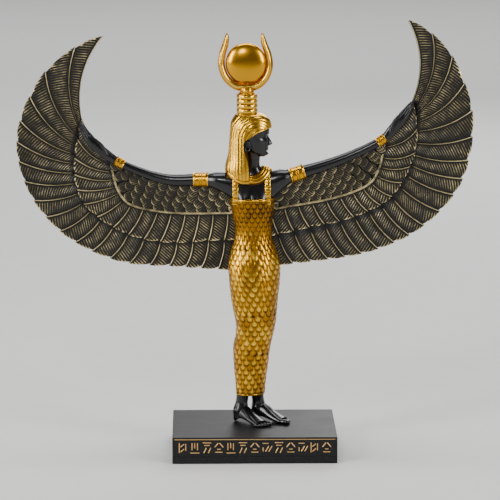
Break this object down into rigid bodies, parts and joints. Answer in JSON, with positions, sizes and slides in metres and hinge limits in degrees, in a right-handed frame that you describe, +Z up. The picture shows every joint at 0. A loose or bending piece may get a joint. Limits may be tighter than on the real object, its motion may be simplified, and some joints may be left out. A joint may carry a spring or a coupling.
{
  "type": "winged goddess statuette",
  "caption": "Standing goddess statuette with raised open wings, horned disc headdress and scaled sheath dress on a rectangular plinth.",
  "frame": {"origin": "middle of the plinth's underside", "axes": "+Z up; the torso, the disc and the plinth's inscribed face look along -Y; +X is the side that the head and the feet turn to, at the right of the picture"},
  "size_m": [0.311, 0.084, 0.298],
  "materials": {
    "plinth_resin": "satin black paint over cast resin, with copper-gold paint on the raised strokes",
    "figure_resin": "cast resin painted gloss black on the skin, antique gold on dress, wig and jewels, and dry-brushed dark bronze on the wings"
  },
  "bodies": {
    "root": {"plinth": "plinth_resin", "figure": "figure_resin"}
  },
  "joints": []
}
